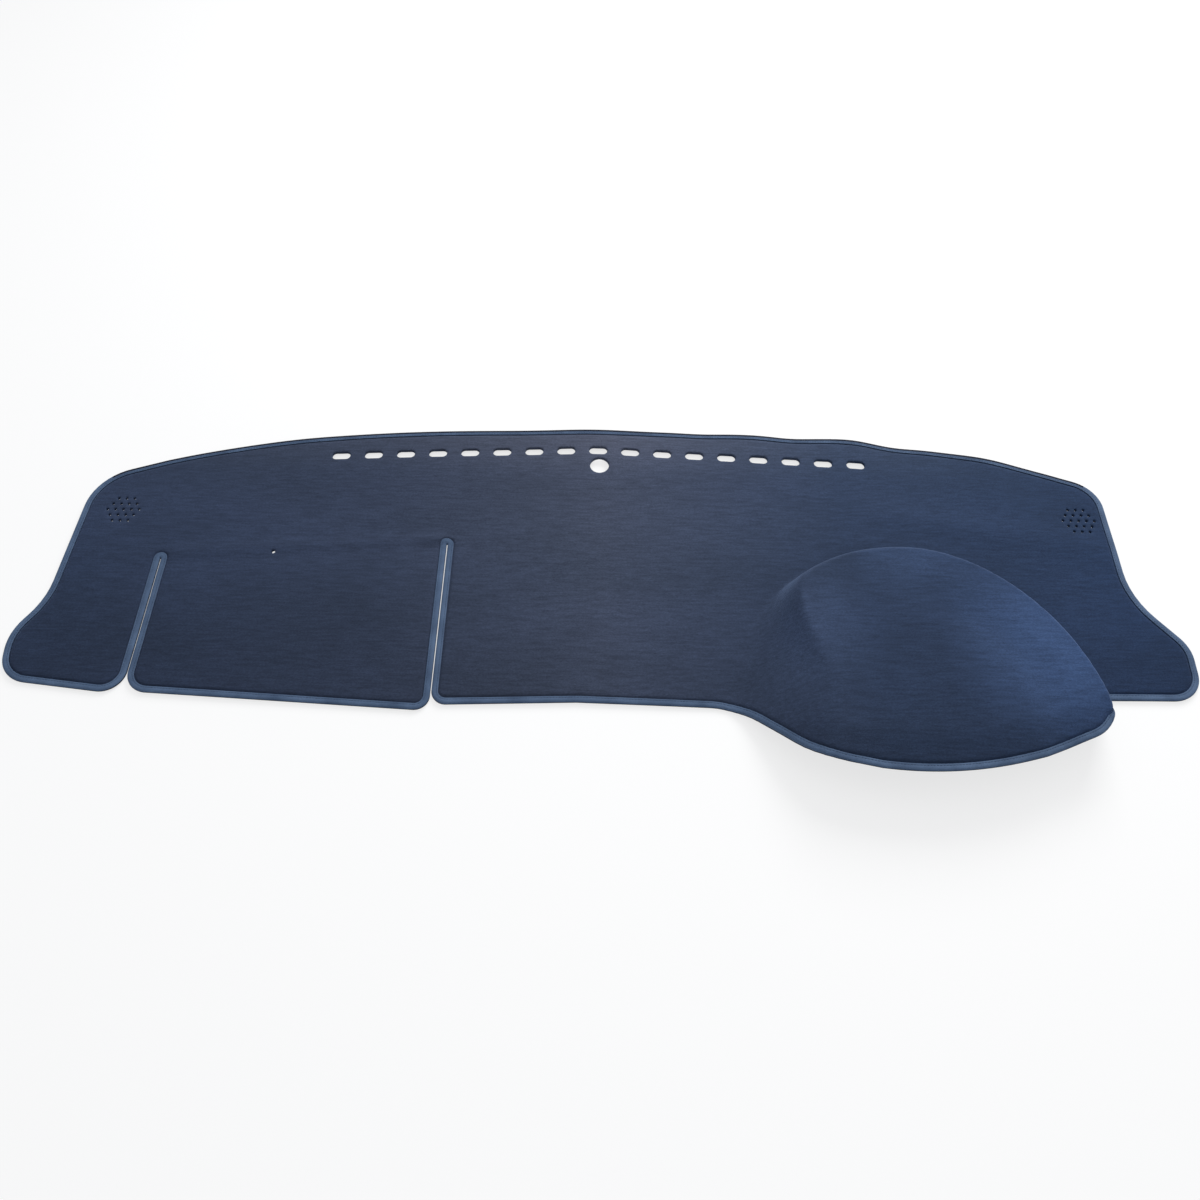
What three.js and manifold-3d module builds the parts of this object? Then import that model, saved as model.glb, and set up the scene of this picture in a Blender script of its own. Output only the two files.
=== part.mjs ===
// Dashboard cover mat: one moulded carpet sheet, and the folded tape sewn round its edge.
// Millimetres, +Z up. X runs to the right and Y towards the windscreen.
// Plan sizes count from the middle of the mat (x = 0) and from its front line (y = 0), which is
// the front edge of the middle panel. At the end the whole mat is moved so that its origin is
// the middle of its base.

import * as THREE from 'three';
import { mergeVertices } from 'three/addons/utils/BufferGeometryUtils.js';
import Module from 'manifold-3d';

const wasm = await Module();
wasm.setup();

// Sheet and tape
const sheetThickness = 5;
const tapeThickness = 0.8;
const bandWidth = 8; // how far the tape reaches in over the sheet
const noseBevel = 1.8; // how much the fold of the tape rounds off its outer corners
const clearance = 0.3; // between the tape and the sheet inside it
const recessOverrun = 0.4; // how far the recess reaches past the edge, as a share of a slit's gap

// Outline of the whole mat
const matWidth = 1458; // from tip to tip
const matDepth = 422.5; // from the front line to the rear edge, in the middle
const shoulderStart = 1.2; // room that the rear edge leaves for a shoulder, as a share of its radius

// Left side: how far each corner lies inside the tip, and its radius
const leftRearDrop = 93; // how far the rear edge curves forward by the shoulder
const leftShoulderInset = 41.5;
const leftShoulderRound = 76; // corner between the rear edge and the side
const leftWaistInset = 32;
const leftWaistDepth = 134;
const leftWaistRound = 110;
const leftTipDepth = 86; // how far behind the front line the tip stands out most
const leftTipRound = 66;
const leftTipFront = 22; // the left tip's front corner, behind the front line
const leftTipInset = 8; // and how far it lies inside the tip
const leftTipCorner = 66;
const leftWingFront = 3.5; // front edge of the left wing at the slit
const leftWingRound = 28;

// Right side
const rightRearDrop = 90.5;
const rightShoulderInset = 53.5;
const rightShoulderRound = 54;
const rightWaistInset = 55;
const rightWaistDepth = 157;
const rightWaistRound = 110;
const rightTipDepth = 85;
const rightTipRound = 46;
const rightTipFront = 11.5;
const rightTipInset = 5.5;
const rightTipCorner = 40;

// Flap between the two slits, over the glovebox side
const leftWingWidth = 161; // from the left tip to the left slit
const flapWidth = 367.5; // from slit to slit
const flapFrontLeft = 8; // the flap's front corners, behind the front line
const flapFrontRight = -13;
const flapLeftRound = 28;
const flapRightRound = 18;
const middleFrontLeft = -5; // the middle panel's front corner beside the right slit
const slitGap = 1;
const leftSlitTop = 199;
const rightSlitTop = 226;

// Instrument hood: a dome that is open at the front, steep behind and on the right
const hoodMiddle = 375;
const hoodHalfWidth = 228;
const hoodBase = -54; // the dome's sides run straight in front of this line
const hoodReach = 270; // from that line to the dome's rear foot
const hoodHeight = 56;
const hoodCrown = 8; // how much the top bulges above the shoulders
const hoodLeftRoundness = 2.2; // exponents of the dome's plan: 2 is an ellipse
const hoodRightRoundness = 1.9;
const hoodLeftShoulder = 0.47; // share of the plan where the flat top ends, on the left
const hoodShoulder = 0.88; // and elsewhere
const hoodDentDepth = 3; // shallow dent inside the right shoulder
const hoodDentPlace = 0.62;
const hoodDentWidth = 0.11;
const hoodDentFade = 0.3; // how far past the hood's middle line the dent reaches to the left
const leftFlankEnd = 0.97; // share of the width where the left flank's shoulder starts to change
const leftFlankFade = 0.37; // and how much of the width the change takes
const hoodDroop = 7; // how far the hood bends down towards its front edge
const hoodDroopWidth = 48;
const steepestSwell = 3; // limit on how much taller the sheet stands on a slope
const leastLean = 0.5; // limit on how much narrower the tape lies in plan on a slope

// Front edge of the hood, an arch in plan
const hoodFront = 105; // how far the arch reaches past the front line
const archShift = -10.5; // middle of the arch, from the hood's middle
const archSag = 49; // how far the arch falls back at archHalf from its middle
const archHalf = 200;
const archLeftInset = 96; // corners of the arch, inside the hood's foot
const archRightInset = 31;
const archLeftRound = 110;
const archRightRound = 52;
const archLeftStart = 0.6; // room left for each corner, as shares of its radius
const archRightStart = 1.5;
const hoodFootInset = 16.5; // where the front edge leaves the middle panel
const hoodFootFront = -5.5;
const hoodFootRound = 77;
const notchFront = 11; // notch between the hood's right leg and the right wing
const notchShift = 1; // from the hood's right foot
const notchRound = 10;

// Demister slots along the rear edge
const slotCount = 17;
const slotPitch = 44.3;
const slotRowMiddle = -5;
const slotWidth = 25;
const slotDepth = 13;
const slotRound = 6;
const slotInset = 37.5; // middle of the row, from the rear edge
const slotRowBow = 17; // how far the ends of the row lie forward of its middle
const slotRowPower = 1.2; // 1 is a bent line and 2 a round bow
const slotRowSkew = 0.01; // the row falls forward to the right by this share of its length

// Other holes
const sensorDiameter = 26;
const sensorInset = 63.5; // from the rear edge
const sensorShift = -3; // from the middle of the mat
const punchDiameter = 5;
const punchFromSlit = 143.5; // from the left slit
const punchDepth = 211; // from the front line
const speakerInset = 93; // middle of each perforated patch, from the tip
const speakerDepth = 276;
const speakerPitch = 10.5;
const speakerRings = 2; // rings of holes round the patch's middle hole
const speakerHoleDiameter = 4;

// How finely curves are divided
const arcStep = THREE.MathUtils.degToRad(24);
const longestArc = 0.49; // share of an edge that one corner's arc may take
const sharpestTurn = 0.7; // limit on how far the tape's section stretches at a corner
const probeStep = 0.5; // between the points that a slope is measured from
const rearSteps = 28;
const archSteps = 20;
const hoodStep = 9; // longest step of the outline where it climbs the hood
const hoodRings = 12;
const hoodRingCrowding = 1.7; // above 1, the rings lie closer near the foot
const hoodSpokes = 34;
const hoodFrontRows = 4;
const cutMargin = 3; // how far a cutting solid reaches past what it cuts
const plungeDepth = 20; // how far the upright cutting solids reach below the mat

const halfWidth = matWidth / 2;
const leftSlit = -halfWidth + leftWingWidth;
const rightSlit = leftSlit + flapWidth;
const leftShoulder = halfWidth - leftShoulderInset;
const rightShoulder = halfWidth - rightShoulderInset;
const blankFront = -hoodFront - archSag;

// Rear edge of the mat at x
function rearEdge(x) {
  const [drop, shoulder] = x < 0 ? [leftRearDrop, leftShoulder] : [rightRearDrop, rightShoulder];
  return matDepth - drop * (Math.abs(x) / shoulder) ** 3;
}

// Front edge of the hood at x
function archEdge(x) {
  const across = (x - hoodMiddle - archShift) / archHalf;
  return -hoodFront + archSag * across * across;
}

// Smooth step from 0 to 1 as share goes from 0 to 1
function ease(share) {
  return THREE.MathUtils.smoothstep(share, 0, 1);
}

// Exponent of the dome's plan on the side where dx lies
function roundness(dx) {
  return dx < 0 ? hoodLeftRoundness : hoodRightRoundness;
}

// Height of the sheet's underside above the ground, at a point in plan
function rise(x, y) {
  const dx = x - hoodMiddle;
  const dy = Math.max(0, y - hoodBase);
  const power = roundness(dx);
  const sum = (Math.abs(dx) / hoodHalfWidth) ** power + (dy / hoodReach) ** power;
  const out = sum ** (1 / power); // 0 at the dome's middle, 1 at its foot
  if (out >= 1) {
    return 0;
  }
  const side = dx / hoodHalfWidth / Math.max(out, 1e-6); // -1 on the left, 1 on the right
  const turned = ease((side + leftFlankEnd) / leftFlankFade);
  const shoulder = THREE.MathUtils.lerp(hoodLeftShoulder, hoodShoulder, turned);
  const climb = ease((1 - out) / (1 - shoulder));
  const dentAcross = (out - hoodDentPlace) / hoodDentWidth;
  const dent = hoodDentDepth * Math.exp(-dentAcross * dentAcross) * ease(hoodDentFade + side);
  const behindArch = Math.max(0, y - archEdge(x));
  const droop = hoodDroop * (1 - ease(behindArch / hoodDroopWidth));
  return climb * (hoodHeight + hoodCrown * (1 - out * out) - dent - droop);
}

// Slope of the underside at a point, along x and y
function slope(x, y) {
  const alongX = (rise(x + probeStep, y) - rise(x - probeStep, y)) / (2 * probeStep);
  const alongY = (rise(x, y + probeStep) - rise(x, y - probeStep)) / (2 * probeStep);
  return new THREE.Vector2(alongX, alongY);
}

// How much taller than its thickness the sheet stands, because it slopes
function swell(x, y) {
  return Math.min(steepestSwell, Math.hypot(1, slope(x, y).length()));
}

// Corners [x, y, radius] joined into a closed loop of points, with an arc at each corner
function roundedLoop(corners) {
  const points = [];
  corners.forEach(([x, y, radius], i) => {
    const here = new THREE.Vector2(x, y);
    const [beforeX, beforeY] = corners.at(i - 1);
    const [afterX, afterY] = corners[(i + 1) % corners.length];
    const back = new THREE.Vector2(beforeX, beforeY).sub(here);
    const on = new THREE.Vector2(afterX, afterY).sub(here);
    const room = longestArc * Math.min(back.length(), on.length());
    back.normalize();
    on.normalize();
    const halfAngle = Math.acos(THREE.MathUtils.clamp(back.dot(on), -1, 1)) / 2;
    const turn = Math.PI - 2 * halfAngle;
    if (radius === 0 || turn < 1e-3) {
      points.push(here);
      return;
    }
    const tangent = Math.min(radius / Math.tan(halfAngle), room);
    const arcRadius = tangent * Math.tan(halfAngle);
    const inward = back.clone().add(on).normalize();
    const centre = here.clone().addScaledVector(inward, arcRadius / Math.sin(halfAngle));
    const spoke = here.clone().addScaledVector(back, tangent).sub(centre);
    const side = Math.sign(on.cross(back));
    const steps = Math.max(2, Math.ceil(turn / arcStep));
    for (let k = 0; k <= steps; k += 1) {
      const turned = spoke.clone().rotateAround(new THREE.Vector2(), (side * turn * k) / steps);
      points.push(turned.add(centre));
    }
  });
  return points;
}

// Both sides and the closed end of a slit, from its mouth on the left to its mouth on the right
function slitCorners(x, top, left, leftRound, right, rightRound) {
  const side = slitGap / 2;
  return [
    [x - side, left, leftRound],
    [x - side, top, side],
    [x + side, top, side],
    [x + side, right, rightRound],
  ];
}

// Points of a curve y = edge(x) from one x to another
function curveCorners(edge, from, to, steps) {
  return Array.from({ length: steps + 1 }, (_, k) => {
    const x = THREE.MathUtils.lerp(from, to, k / steps);
    return [x, edge(x), 0];
  });
}

// Splits the steps of a loop that lie on the hood, so that they follow its shape
function followHood(loop) {
  return loop.flatMap((point, i) => {
    const next = loop[(i + 1) % loop.length];
    const onHood = [0, 0.25, 0.5, 0.75, 1].some((share) => {
      const probe = point.clone().lerp(next, share);
      return rise(probe.x, probe.y) > 0;
    });
    const steps = onHood ? Math.ceil(point.distanceTo(next) / hoodStep) : 1;
    return Array.from({ length: steps }, (_, k) => point.clone().lerp(next, k / steps));
  });
}

// Outline of the mat, anticlockwise from the left tip along the front
function matOutline() {
  const archLeft = hoodMiddle - hoodHalfWidth + archLeftInset;
  const archRight = hoodMiddle + hoodHalfWidth - archRightInset;
  const archEnd = archRightStart * archRightRound;
  const archStart = archLeftStart * archLeftRound;
  const curveLeft = shoulderStart * leftShoulderRound - leftShoulder;
  const curveRight = rightShoulder - shoulderStart * rightShoulderRound;
  const corners = [
    [leftTipInset - halfWidth, leftTipFront, leftTipCorner],
    ...slitCorners(leftSlit, leftSlitTop, leftWingFront, leftWingRound, flapFrontLeft, flapLeftRound),
    ...slitCorners(rightSlit, rightSlitTop, flapFrontRight, flapRightRound, middleFrontLeft, flapRightRound),
    [(rightSlit + hoodMiddle - hoodHalfWidth) / 2, 0, 0],
    [hoodMiddle - hoodHalfWidth + hoodFootInset, hoodFootFront, hoodFootRound],
    [archLeft, archEdge(archLeft), archLeftRound],
    ...curveCorners(archEdge, archLeft + archStart, archRight - archEnd, archSteps),
    [archRight, archEdge(archRight), archRightRound],
    [hoodMiddle + hoodHalfWidth + notchShift, notchFront, notchRound],
    [halfWidth - rightTipInset, rightTipFront, rightTipCorner],
    [halfWidth, rightTipDepth, rightTipRound],
    [halfWidth - rightWaistInset, rightWaistDepth, rightWaistRound],
    [rightShoulder, rearEdge(rightShoulder), rightShoulderRound],
    ...curveCorners(rearEdge, curveRight, curveLeft, rearSteps),
    [-leftShoulder, rearEdge(-leftShoulder), leftShoulderRound],
    [-halfWidth + leftWaistInset, leftWaistDepth, leftWaistRound],
    [-halfWidth, leftTipDepth, leftTipRound],
  ];
  return followHood(roundedLoop(corners));
}

// Section of the fold at a depth inside the tape's outer face, as [inward, up] pairs
// from the end of the lower lip round the nose to the end of the upper lip
function foldLine(depth, reach) {
  const bevel = noseBevel + depth * (Math.SQRT2 - 1);
  const top = sheetThickness;
  return [
    [reach, depth],
    [bevel, depth],
    [depth, bevel],
    [depth, top - bevel],
    [bevel, top - depth],
    [reach, top - depth],
  ];
}

// Closed section of the folded tape
function tapeSection() {
  return [...foldLine(tapeThickness, bandWidth), ...foldLine(0, bandWidth).reverse()];
}

// Closed section of what the tape takes away from the sheet, with its clearance
function recessSection() {
  const reach = bandWidth + clearance;
  const outside = -recessOverrun * slitGap;
  const top = sheetThickness + cutMargin;
  return [
    ...foldLine(tapeThickness + clearance, reach),
    [reach, top],
    [outside, top],
    [outside, -cutMargin],
    [reach, -cutMargin],
  ];
}

// Solid from a list of coordinates and a list of triangles
function solidOf(coordinates, triangles) {
  return new wasm.Manifold(
    new wasm.Mesh({
      numProp: 3,
      vertProperties: new Float32Array(coordinates),
      triVerts: new Uint32Array(triangles),
    }),
  );
}

// For each point of a closed loop, the step in plan that goes 1 mm in along the sheet
function inwardSteps(loop) {
  return loop.map((point, i) => {
    const before = point.clone().sub(loop.at(i - 1)).normalize();
    const after = loop[(i + 1) % loop.length].clone().sub(point).normalize();
    const along = before.clone().add(after).normalize();
    const inward = new THREE.Vector2(-along.y, along.x);
    const mitre = 1 / Math.max(sharpestTurn, along.dot(after));
    const probe = point.clone().addScaledVector(inward, bandWidth / 2);
    const tilt = slope(probe.x, probe.y).dot(inward);
    const lean = Math.max(leastLean, 1 / Math.hypot(1, tilt));
    return inward.multiplyScalar(mitre * lean);
  });
}

// A section carried once round a closed loop, along the surface of the sheet
function carriedRound(loop, section) {
  const coordinates = [];
  const triangles = [];
  const across = section.length;
  const steps = inwardSteps(loop);
  loop.forEach((point, i) => {
    section.forEach(([reach, up], j) => {
      const place = point.clone().addScaledVector(steps[i], reach);
      const height = rise(place.x, place.y) + up * swell(place.x, place.y);
      coordinates.push(place.x, place.y, height);
      const next = ((i + 1) % loop.length) * across;
      const a = i * across + j;
      const b = i * across + ((j + 1) % across);
      const c = next + ((j + 1) % across);
      const d = next + j;
      // Faces on both sides of the tape are split along the same diagonal, so that they never cross
      const outwards = section[(j + 1) % across][0] < reach;
      triangles.push(...(outwards ? [a, b, d, b, c, d] : [a, b, c, a, c, d]));
    });
  });
  return solidOf(coordinates, triangles);
}

// Place in plan on the hood: spoke from 0 at the front left, round the back, to the front right
function hoodPlace(spoke, out) {
  const rows = hoodFrontRows;
  const leftRow = Math.max(0, rows - spoke);
  const rightRow = Math.max(0, spoke - rows - hoodSpokes);
  const turn = THREE.MathUtils.clamp((spoke - rows) / hoodSpokes, 0, 1) * Math.PI;
  const side = -Math.cos(turn);
  const power = 2 / roundness(side);
  const dx = hoodHalfWidth * out * Math.sign(side) * Math.abs(side) ** power;
  const dy = hoodReach * out * Math.abs(Math.sin(turn)) ** power;
  const forward = ((leftRow + rightRow) * (blankFront - hoodBase)) / rows;
  return [hoodMiddle + dx, hoodBase + dy + forward];
}

// Uncut sheet: a rectangle in plan, larger than the mat, with the hood moulded into it.
// Its plan is divided along the hood's rings and spokes, and left whole where it is flat.
function blankSheet() {
  const places = [];
  const known = new Map();
  const faces = [];
  const vertex = ([x, y]) => {
    const key = `${x.toFixed(4)} ${y.toFixed(4)}`;
    if (!known.has(key)) {
      known.set(key, places.length);
      places.push([x, y]);
    }
    return known.get(key);
  };
  const face = (a, b, c) => {
    if (a !== b && b !== c && c !== a) {
      faces.push([a, b, c]);
    }
  };
  const spokes = hoodSpokes + 2 * hoodFrontRows;
  const ring = (k) => 1 - (1 - k / hoodRings) ** hoodRingCrowding;
  for (let s = 0; s < spokes; s += 1) {
    for (let k = 0; k < hoodRings; k += 1) {
      const a = vertex(hoodPlace(s, ring(k)));
      const b = vertex(hoodPlace(s + 1, ring(k)));
      const c = vertex(hoodPlace(s + 1, ring(k + 1)));
      const d = vertex(hoodPlace(s, ring(k + 1)));
      face(a, b, c);
      face(a, c, d);
    }
  }

  const side = halfWidth + cutMargin;
  const back = matDepth + cutMargin;
  const foot = Array.from({ length: spokes + 1 }, (_, s) => hoodPlace(s, 1));
  const border = [[-side, blankFront], ...foot, [side, blankFront], [side, back], [-side, back]];
  const contour = border.map(([x, y]) => new THREE.Vector2(x, y));
  THREE.ShapeUtils.triangulateShape(contour, []).forEach(([a, b, c]) => {
    face(vertex(border[a]), vertex(border[b]), vertex(border[c]));
  });
  return doubled(places, faces);
}

// Closed sheet over a divided plan: underside, top side and the walls at its border
function doubled(places, faces) {
  const coordinates = [];
  places.forEach(([x, y]) => coordinates.push(x, y, rise(x, y)));
  places.forEach(([x, y]) => coordinates.push(x, y, rise(x, y) + sheetThickness * swell(x, y)));
  const triangles = [];
  const edges = new Map();
  const over = places.length;
  faces.forEach((corners) => {
    const [first, second, third] = corners.map((v) => new THREE.Vector2(...places[v]));
    const area = second.clone().sub(first).cross(third.clone().sub(first));
    const [a, b, c] = area > 0 ? corners : corners.toReversed();
    triangles.push(a, c, b, a + over, b + over, c + over);
    [[a, b], [b, c], [c, a]].forEach(([from, to]) => edges.set(`${from} ${to}`, [from, to]));
  });
  edges.forEach(([from, to]) => {
    if (!edges.has(`${to} ${from}`)) {
      triangles.push(from, to, to + over, from, to + over, from + over);
    }
  });
  return solidOf(coordinates, triangles);
}

// Upright solid over one or more closed loops
function upright(loops) {
  const shapes = loops.map((loop) => new THREE.Shape(loop));
  const depth = 2 * plungeDepth + sheetThickness * steepestSwell + hoodHeight + hoodCrown;
  const geometry = new THREE.ExtrudeGeometry(shapes, { depth, bevelEnabled: false });
  geometry.translate(0, 0, -plungeDepth);
  geometry.deleteAttribute('normal');
  geometry.deleteAttribute('uv');
  const merged = mergeVertices(geometry);
  return solidOf(merged.attributes.position.array, merged.index.array);
}

function circleLoop(x, y, diameter, sides) {
  return new THREE.EllipseCurve(x, y, diameter / 2, diameter / 2).getPoints(sides).slice(0, -1);
}

// Middle of the row of demister slots at x
function rowDepth(x) {
  const along = x - slotRowMiddle;
  const bow = slotRowBow * Math.abs(along / (slotPitch * (slotCount - 1) / 2)) ** slotRowPower;
  return matDepth - slotInset - bow - slotRowSkew * along;
}

// One demister slot, turned to follow the row
function slotLoop(index) {
  const x = slotRowMiddle + slotPitch * (index - (slotCount - 1) / 2);
  const angle = Math.atan2(rowDepth(x + slotWidth) - rowDepth(x - slotWidth), 2 * slotWidth);
  const centre = new THREE.Vector2(x, rowDepth(x));
  const w = slotWidth / 2;
  const d = slotDepth / 2;
  const corners = [[-w, -d], [w, -d], [w, d], [-w, d]].map(([px, py]) => [px, py, slotRound]);
  return roundedLoop(corners).map((p) => p.rotateAround(new THREE.Vector2(), angle).add(centre));
}

// Perforated patch over a speaker: rings of small holes in a hexagonal pattern
function speakerLoops(x, y) {
  const loops = [];
  for (let row = -speakerRings; row <= speakerRings; row += 1) {
    const inRow = 2 * speakerRings + 1 - Math.abs(row);
    for (let k = 0; k < inRow; k += 1) {
      const px = x + speakerPitch * (k - (inRow - 1) / 2);
      const py = y + speakerPitch * row * Math.sin(Math.PI / 3);
      loops.push(circleLoop(px, py, speakerHoleDiameter, 8));
    }
  }
  return loops;
}

function holeLoops() {
  return [
    ...Array.from({ length: slotCount }, (_, k) => slotLoop(k)),
    circleLoop(sensorShift, rearEdge(sensorShift) - sensorInset, sensorDiameter, 24),
    circleLoop(leftSlit + punchFromSlit, punchDepth, punchDiameter, 10),
    ...speakerLoops(-halfWidth + speakerInset, speakerDepth),
    ...speakerLoops(halfWidth - speakerInset, speakerDepth),
  ];
}

function namedMesh(name, solid, color, roughness) {
  const { numProp, vertProperties, triVerts } = solid.getMesh();
  const geometry = new THREE.BufferGeometry();
  geometry.setAttribute('position', new THREE.BufferAttribute(vertProperties, numProp));
  geometry.setIndex(new THREE.BufferAttribute(triVerts, 1));
  geometry.computeVertexNormals();
  const material = new THREE.MeshStandardMaterial({ color, roughness, metalness: 0 });
  const mesh = new THREE.Mesh(geometry, material);
  mesh.name = name;
  return mesh;
}

const outline = matOutline();
const sheet = blankSheet()
  .intersect(upright([outline]))
  .subtract(carriedRound(outline, recessSection()))
  .subtract(upright(holeLoops()));
const tape = carriedRound(outline, tapeSection());

const mat = new THREE.Group();
mat.add(namedMesh('cover_panel', sheet, '#34415a', 0.95));
mat.add(namedMesh('edge_binding', tape, '#485b77', 0.8));

const box = new THREE.Box3().setFromObject(mat);
const middle = box.getCenter(new THREE.Vector3());
mat.position.set(-middle.x, -middle.y, -box.min.z);

export default mat;
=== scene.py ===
# Dashboard cover mat: moulded carpet with a sewn edge tape, lying on a pale floor.
# Shapes are worked out in millimetres in a plan, where x = 0 is the middle of its width before the
# tips are rounded and y = 0 is the front edge of its middle panel, and are then placed in the CAD frame.

import math

import bpy
import numpy as np
from mathutils import Matrix, Vector
from mathutils.geometry import delaunay_2d_cdt


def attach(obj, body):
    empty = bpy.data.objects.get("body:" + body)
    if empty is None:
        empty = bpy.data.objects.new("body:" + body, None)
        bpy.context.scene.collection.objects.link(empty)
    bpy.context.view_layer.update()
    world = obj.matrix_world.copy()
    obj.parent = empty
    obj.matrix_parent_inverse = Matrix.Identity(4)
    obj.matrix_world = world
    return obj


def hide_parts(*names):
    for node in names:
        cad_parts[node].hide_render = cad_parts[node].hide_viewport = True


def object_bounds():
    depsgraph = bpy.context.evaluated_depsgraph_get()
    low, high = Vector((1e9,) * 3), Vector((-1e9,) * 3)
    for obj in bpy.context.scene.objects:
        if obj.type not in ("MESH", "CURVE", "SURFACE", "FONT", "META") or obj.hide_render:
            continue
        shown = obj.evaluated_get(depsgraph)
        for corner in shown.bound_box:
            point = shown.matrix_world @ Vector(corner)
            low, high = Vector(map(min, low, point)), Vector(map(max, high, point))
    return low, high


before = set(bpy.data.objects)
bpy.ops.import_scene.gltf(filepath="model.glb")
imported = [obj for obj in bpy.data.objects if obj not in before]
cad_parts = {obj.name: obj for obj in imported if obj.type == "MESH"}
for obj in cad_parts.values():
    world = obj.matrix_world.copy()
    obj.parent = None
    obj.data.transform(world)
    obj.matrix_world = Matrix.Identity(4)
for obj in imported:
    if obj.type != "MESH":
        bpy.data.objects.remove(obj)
cad_low, cad_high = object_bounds()

# Sheet and tape
THICKNESS = 5.0
BAND = 8.0
TAPE = 0.75

# Outline, as the part has it
MAT_WIDTH = 1458.0
MAT_DEPTH = 422.5
LEFT = {"drop": 93.0, "shoulder": 41.5, "shoulder_round": 76.0, "waist": 32.0, "waist_depth": 134.0,
        "waist_round": 110.0, "tip_depth": 86.0, "tip_round": 66.0, "tip_front": 22.0, "tip_inset": 8.0,
        "tip_corner": 66.0, "wing_front": 3.5, "wing_round": 28.0}
RIGHT = {"drop": 90.5, "shoulder": 53.5, "shoulder_round": 54.0, "waist": 55.0, "waist_depth": 157.0,
         "waist_round": 110.0, "tip_depth": 85.0, "tip_round": 46.0, "tip_front": 11.5, "tip_inset": 5.5,
         "tip_corner": 40.0}
LEFT_WING = 161.0
FLAP_WIDTH = 367.5
FLAP_FRONT_LEFT = 8.0
FLAP_FRONT_RIGHT = -13.0
FLAP_LEFT_ROUND = 28.0
FLAP_RIGHT_ROUND = 18.0
MIDDLE_FRONT_LEFT = -5.0
SLIT_GAP = 1.0
LEFT_SLIT_TOP = 199.0
RIGHT_SLIT_TOP = 226.0

# Instrument hood
HOOD_X = 375.0
HOOD_HALF = 228.0
HOOD_BASE = -54.0
HOOD_REACH = 270.0
HOOD_HEIGHT = 56.0
HOOD_CROWN = 8.0
LEFT_ROUNDNESS = 2.2
RIGHT_ROUNDNESS = 1.9
LEFT_SHOULDER = 0.47
SHOULDER = 0.88
DENT_DEPTH = 3.0
DENT_PLACE = 0.62
DENT_WIDTH = 0.11
DROOP = 7.0
DROOP_WIDTH = 48.0
STEEPEST_SWELL = 3.0
LEAST_LEAN = 0.5
HOOD_FRONT = 105.0
ARCH_SHIFT = -10.5
ARCH_SAG = 49.0
ARCH_HALF = 200.0
ARCH_LEFT_INSET = 96.0
ARCH_RIGHT_INSET = 31.0
ARCH_LEFT_ROUND = 110.0
ARCH_RIGHT_ROUND = 52.0
FOOT_INSET = 16.5
FOOT_FRONT = -5.5
FOOT_ROUND = 77.0
NOTCH_FRONT = 11.0
NOTCH_SHIFT = 1.0
NOTCH_ROUND = 10.0

# Holes
SLOTS = 17
SLOT_PITCH = 44.3
SLOT_ROW_X = -5.0
SLOT_WIDTH = 25.0
SLOT_DEPTH = 13.0
SLOT_ROUND = 6.0
SLOT_INSET = 37.5
SLOT_BOW = 17.0
SLOT_POWER = 1.2
SLOT_SKEW = 0.01
SENSOR_DIAMETER = 26.0
SENSOR_INSET = 63.5
SENSOR_X = -3.0
PUNCH_DIAMETER = 5.0
PUNCH_FROM_SLIT = 143.5
PUNCH_Y = 211.0
SPEAKER_INSET = 93.0
SPEAKER_Y = 276.0
SPEAKER_PITCH = 10.5
SPEAKER_RINGS = 2
SPEAKER_HOLE = 4.0

# Fineness
ARC_STEP = math.radians(7)
LONGEST_ARC = 0.49  # share of a side that one rounded corner may take
SHARPEST_TURN = 0.7
SHOULDER_START = 1.2  # where the rear curve starts, in radii from its shoulder
ARCH_LEFT_START = 0.6
ARCH_RIGHT_START = 1.5
ARCH_STEPS = 90
REAR_STEPS = 240
OUTLINE_STEP = 2.6
GRID = 5.0
HOOD_GRID = 4.0

HALF = MAT_WIDTH / 2
LEFT_SLIT = LEFT_WING - HALF
RIGHT_SLIT = LEFT_SLIT + FLAP_WIDTH
METRE = 0.001
# The front line's place in the CAD frame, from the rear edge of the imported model
FRONT_LINE = cad_high[1] - MAT_DEPTH * METRE
# The tips are rounded differently, so x = 0 of the plan lies this far from the middle of the CAD box
SIDE_LINE = -0.000655


def ease(share):
    """Smooth step from 0 to 1."""
    share = np.clip(share, 0.0, 1.0)
    return share * share * (3 - 2 * share)


def bump(value, middle, width):
    """Bell of height 1 round the middle."""
    return np.exp(-(((value - middle) / width) ** 2))


def rear_edge(x):
    x = np.asarray(x, float)
    drop = np.where(x < 0, LEFT["drop"], RIGHT["drop"])
    shoulder = HALF - np.where(x < 0, LEFT["shoulder"], RIGHT["shoulder"])
    # The soft edge lies a few millimetres further forward in three places
    waves = 1.6 * bump(x, 141, 34) + 3.2 * bump(x, 264, 34) + 3.2 * bump(x, 408, 34)
    return MAT_DEPTH - drop * (np.abs(x) / shoulder) ** 3 - waves


def arch_edge(x):
    return -HOOD_FRONT + ARCH_SAG * ((np.asarray(x, float) - HOOD_X - ARCH_SHIFT) / ARCH_HALF) ** 2


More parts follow.
